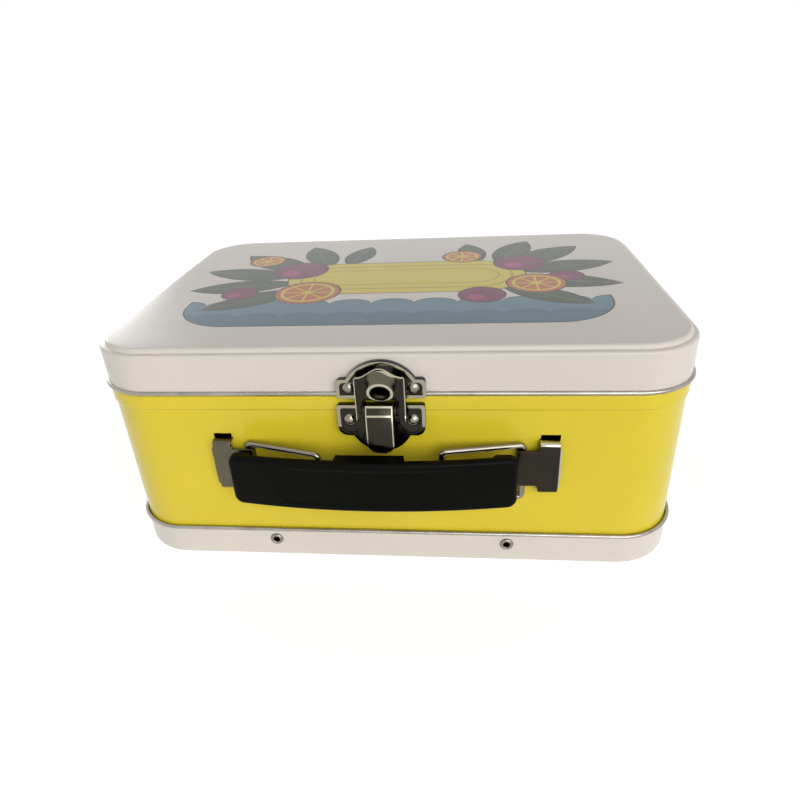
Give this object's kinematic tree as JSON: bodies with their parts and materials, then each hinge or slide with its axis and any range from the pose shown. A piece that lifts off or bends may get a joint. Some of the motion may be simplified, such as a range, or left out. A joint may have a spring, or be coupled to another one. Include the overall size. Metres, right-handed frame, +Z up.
{
  "type": "lunch box",
  "caption": "Small rectangular tin lunch box with a hinged pressed lid, a swing latch with a lever, and a flat grip on two swinging wire links.",
  "frame": {"origin": "middle of the flat face under the bottom tray, on which the box rests lying on its back", "axes": "+Z up out of the lid's panel, +X along the long side, to the right seen from the latch, and the latch and handle face -Y"},
  "size_m": [0.1918, 0.1495, 0.08],
  "materials": {
    "white_enamel": "semi-gloss white enamel",
    "yellow_enamel": "glossy yellow enamel",
    "bare_tinplate": "bare rolled tinplate edge",
    "rivet_nickel": "polished nickel plate",
    "latch_nickel": "polished nickel plate",
    "link_wire": "polished nickel-plated wire",
    "black_plastic": "satin black moulded plastic",
    "keeper_steel": "dark steel strip",
    "hinge_steel": "nickel-plated steel"
  },
  "bodies": {
    "case": {"wall_band": "yellow_enamel", "bottom_tray": "white_enamel", "tray_rim_bead": "bare_tinplate", "tray_rivets": "rivet_nickel", "latch_base_plate": "latch_nickel", "latch_base_rivets": "rivet_nickel", "hasp_pin": "rivet_nickel", "handle_bracket_left": "latch_nickel", "handle_bracket_right": "latch_nickel", "hinge_body_leaf_left": "hinge_steel", "hinge_body_leaf_right": "hinge_steel", "hinge_pin_left": "hinge_steel", "hinge_pin_right": "hinge_steel", "hinge_body_rivets": "rivet_nickel"},
    "lid": {"lid_shell": "white_enamel", "lid_rim_bead": "bare_tinplate", "strike_plate": "latch_nickel", "strike_rivets": "rivet_nickel", "hinge_lid_leaf_left": "hinge_steel", "hinge_lid_leaf_right": "hinge_steel", "hinge_lid_rivets": "rivet_nickel"},
    "hasp": {"hasp": "latch_nickel", "lever_pin": "rivet_nickel"},
    "lever": {"latch_lever": "latch_nickel"},
    "link_left": {"handle_link_left": "link_wire"},
    "link_right": {"handle_link_right": "link_wire"},
    "grip": {"handle_grip": "black_plastic", "grip_keeper_left": "keeper_steel", "grip_keeper_right": "keeper_steel"}
  },
  "joints": [
    {"name": "lid_hinge", "type": "hinge", "parent": "case", "child": "lid", "pos_m": [0, 0.0688, 0.0656], "axis": [-1, 0, 0], "range_deg": [0, 105]},
    {"name": "hasp_swing", "type": "hinge", "parent": "case", "child": "hasp", "pos_m": [0, -0.0698, 0.0596], "axis": [1, 0, 0], "range_deg": [0, 30]},
    {"name": "lever_tilt", "type": "hinge", "parent": "hasp", "child": "lever", "pos_m": [0, -0.0729, 0.0636], "axis": [-1, 0, 0], "range_deg": [0, 60]},
    {"name": "grip_pull", "type": "slide", "parent": "case", "child": "grip", "axis": [0, -1, 0], "range_m": [0, 0.01608]},
    {"name": "link_swing_left", "type": "hinge", "parent": "case", "child": "link_left", "pos_m": [-0.045, -0.0667, 0.0382], "axis": [0, 0, -1], "range_deg": [0, 45]},
    {"name": "link_swing_right", "type": "hinge", "parent": "case", "child": "link_right", "pos_m": [0.043, -0.0667, 0.0382], "axis": [0, 0, 1], "range_deg": [0, 45]}
  ],
  "couplings": [
    {"joint": "lever_tilt", "follows": "hasp_swing", "ratio": 2},
    {"joint": "link_swing_left", "follows": "grip_pull", "rad_per_m": 48.843},
    {"joint": "link_swing_right", "follows": "grip_pull", "rad_per_m": 48.843}
  ]
}
